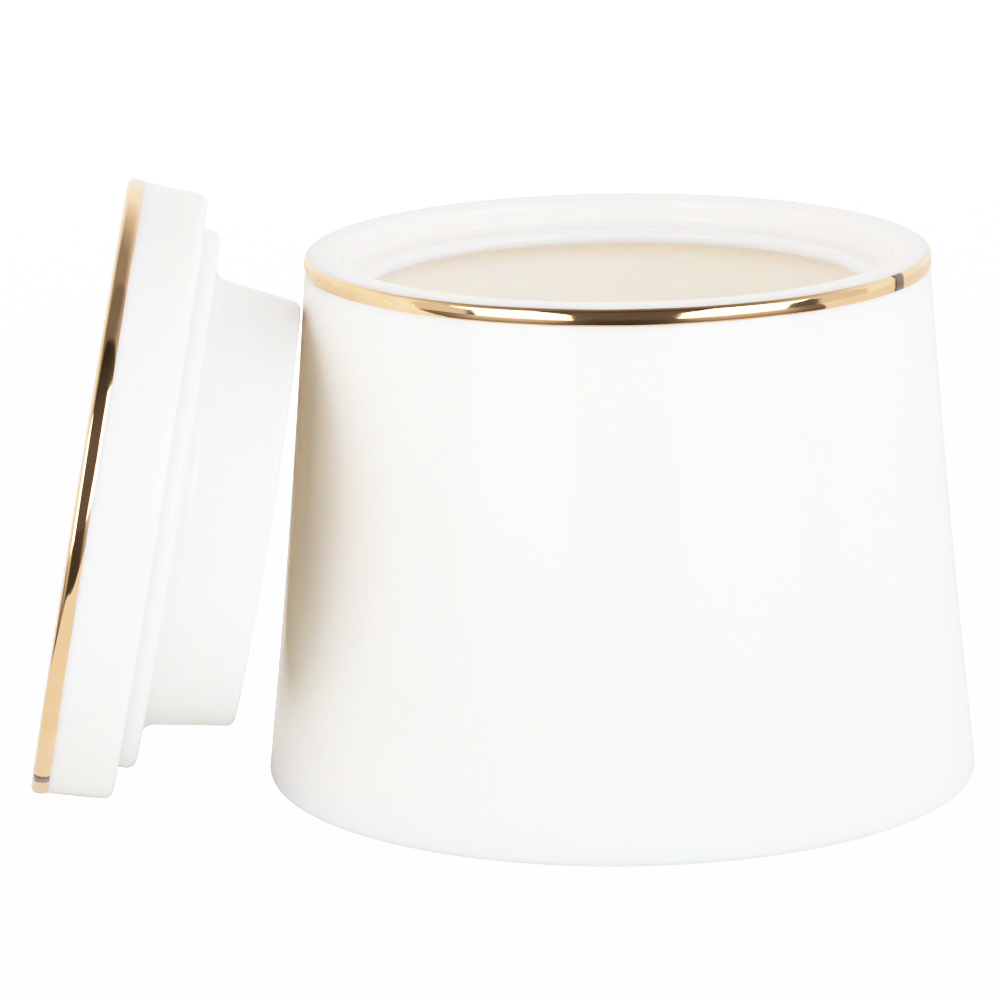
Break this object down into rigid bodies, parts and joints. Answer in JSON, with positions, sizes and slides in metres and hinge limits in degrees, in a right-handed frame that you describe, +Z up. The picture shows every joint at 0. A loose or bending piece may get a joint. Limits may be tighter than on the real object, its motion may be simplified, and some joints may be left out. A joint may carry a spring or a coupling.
{
  "type": "lidded porcelain cream jar",
  "caption": "White glazed porcelain cream jar, wider at the foot, with a gold line round its shoulder and a drop-in lid with a plug leaning on its side.",
  "frame": {"origin": "centre of the jar's foot, on the surface that it stands on", "axes": "+Z up along the jar's axis; the lid leans on the -X side; -Y faces the viewer"},
  "size_m": [0.123, 0.0922, 0.0794],
  "materials": {
    "porcelain": "clear gloss glaze over warm white porcelain, bare on the foot ring",
    "gold": "fired bright gold, burnished, raised about 0.3 mm on the glaze"
  },
  "bodies": {
    "jar": {"jar_body": "porcelain", "jar_gold_line": "gold"},
    "lid": {"lid_body": "porcelain", "lid_gold_line": "gold"}
  },
  "joints": [
    {"name": "lid_lift", "type": "slide", "parent": "jar", "child": "lid", "axis": [0, 0, 1], "range_m": [0, 0.072]}
  ]
}
